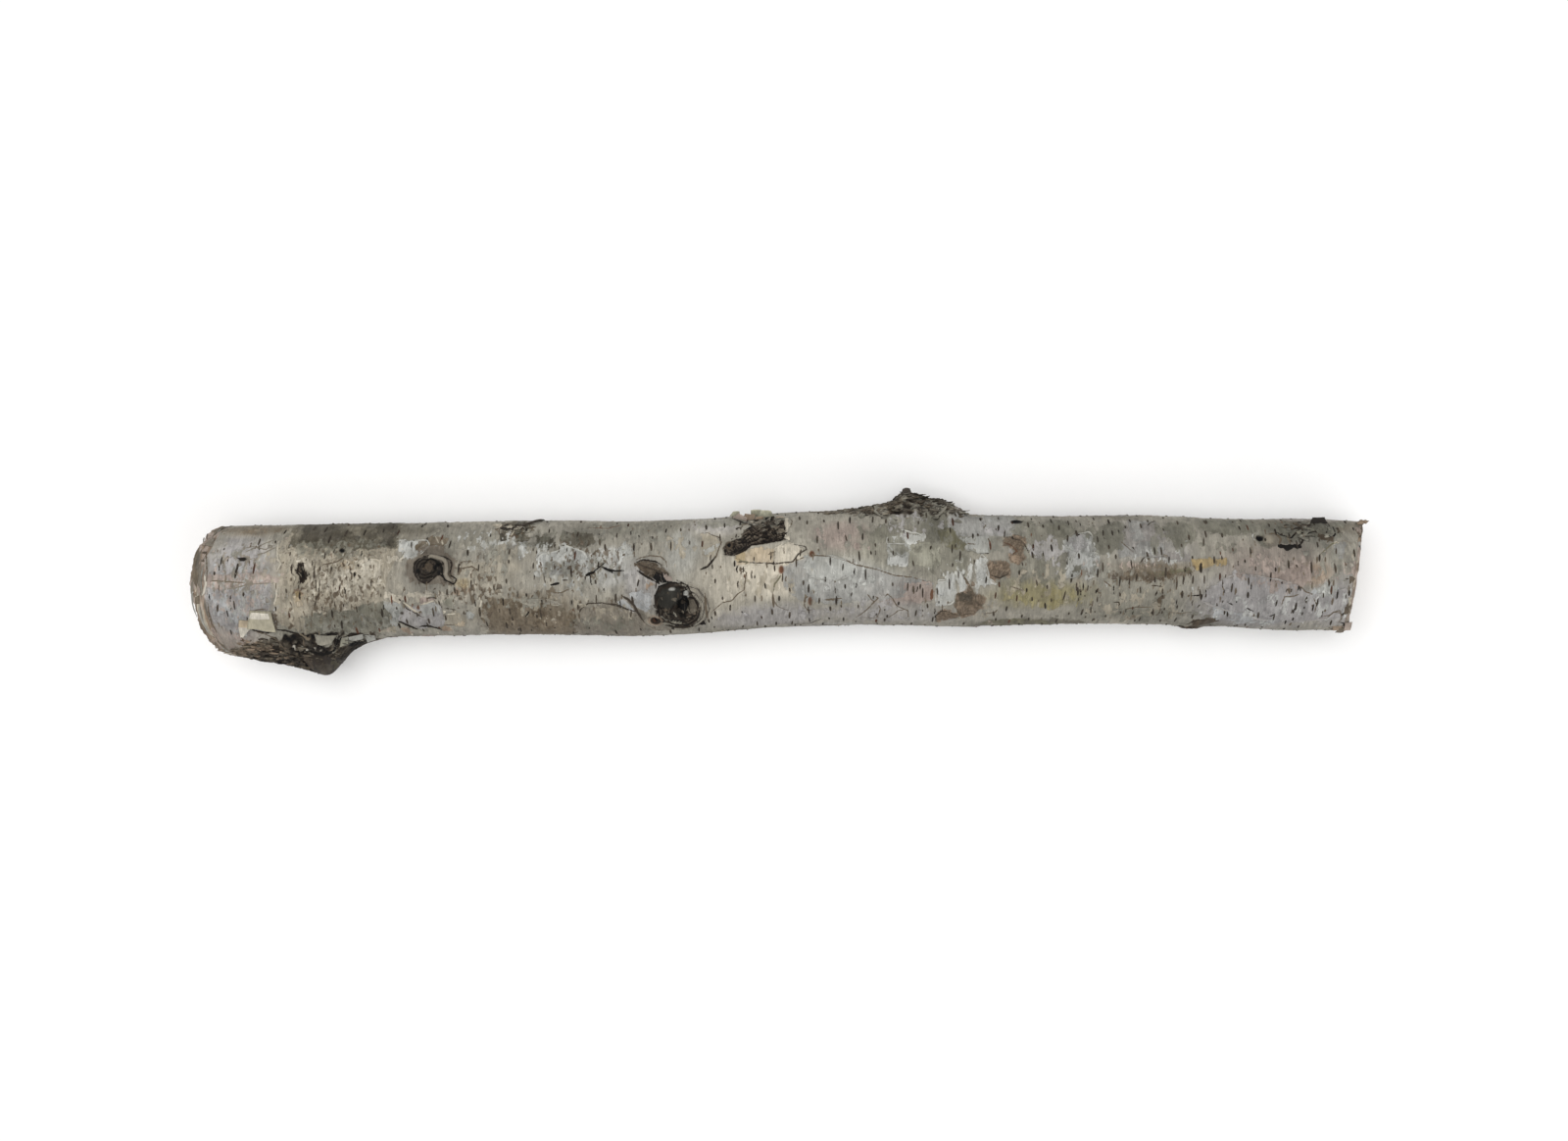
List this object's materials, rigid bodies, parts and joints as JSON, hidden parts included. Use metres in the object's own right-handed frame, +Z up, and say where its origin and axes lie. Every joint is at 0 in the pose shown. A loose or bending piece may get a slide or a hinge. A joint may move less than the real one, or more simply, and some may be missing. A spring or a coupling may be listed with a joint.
{
  "type": "birch branch",
  "caption": "Cut length of birch branch lying on its side, with pale papery bark, knots, a broken side branch, a burl and slanting sawn ends.",
  "frame": {"origin": "on the surface that the branch lies on, under the middle of its overall box", "axes": "+X along the branch towards its right-hand cut, +Y towards the side with the burl, +Z up"},
  "size_m": [0.4553, 0.0712, 0.0519],
  "materials": {
    "birch_bark": "matt pale grey-beige birch bark with dark lenticels, white scuffs and olive-grey patches",
    "dark_bark": "rough dark knot and scar bark",
    "paper_bark": "thin cream paper bark, torn and curled",
    "cut_wood": "sawn end grain with growth rings"
  },
  "bodies": {
    "root": {"birch_branch": "birch_bark"}
  },
  "joints": []
}
